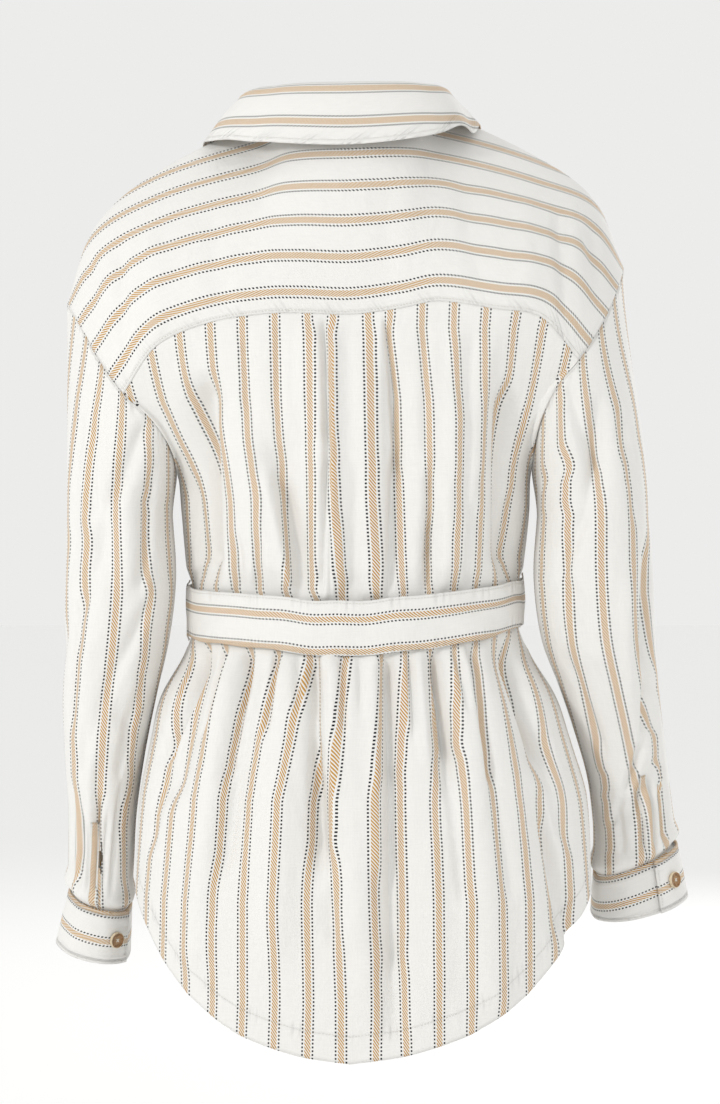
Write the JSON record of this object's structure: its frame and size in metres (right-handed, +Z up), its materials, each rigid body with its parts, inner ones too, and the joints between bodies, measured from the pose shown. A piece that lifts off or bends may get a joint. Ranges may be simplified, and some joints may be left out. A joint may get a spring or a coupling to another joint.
{
  "type": "shacket",
  "caption": "Striped shirt jacket worn open-necked with a tied belt, as hollow cloth walls with a yoke, shirt collar, cuffed sleeves and a curved hem.",
  "frame": {"origin": "the nape, at the middle of the back neck seam, where the wearer holds the garment up", "axes": "+Z up along the body, +Y out of the garment's back, +X to the wearer's left"},
  "size_m": [0.5608, 0.28, 0.8359],
  "materials": {
    "striped_cloth": "fine off-white weave with tan twill stripes edged by dotted dark threads",
    "button": "horn-like with a cream rim and a pearly middle",
    "thread": "thread chain"
  },
  "bodies": {
    "root": {"back_yoke": "striped_cloth", "back_panel": "striped_cloth", "front_left": "striped_cloth", "front_right": "striped_cloth", "collar_stand": "striped_cloth", "collar_fall": "striped_cloth", "sleeve_left": "striped_cloth", "sleeve_right": "striped_cloth", "placket_left": "striped_cloth", "placket_right": "striped_cloth", "cuff_left": "striped_cloth", "cuff_right": "striped_cloth", "belt": "striped_cloth", "belt_knot": "striped_cloth", "belt_end_left": "striped_cloth", "belt_end_right": "striped_cloth", "cuff_button_left": "button", "cuff_button_right": "button", "front_button_1": "button", "front_button_2": "button", "front_button_3": "button", "front_button_4": "button", "front_button_5": "button", "front_button_6": "button", "front_button_7": "button", "belt_loop_left": "thread", "belt_loop_right": "thread"}
  },
  "joints": []
}
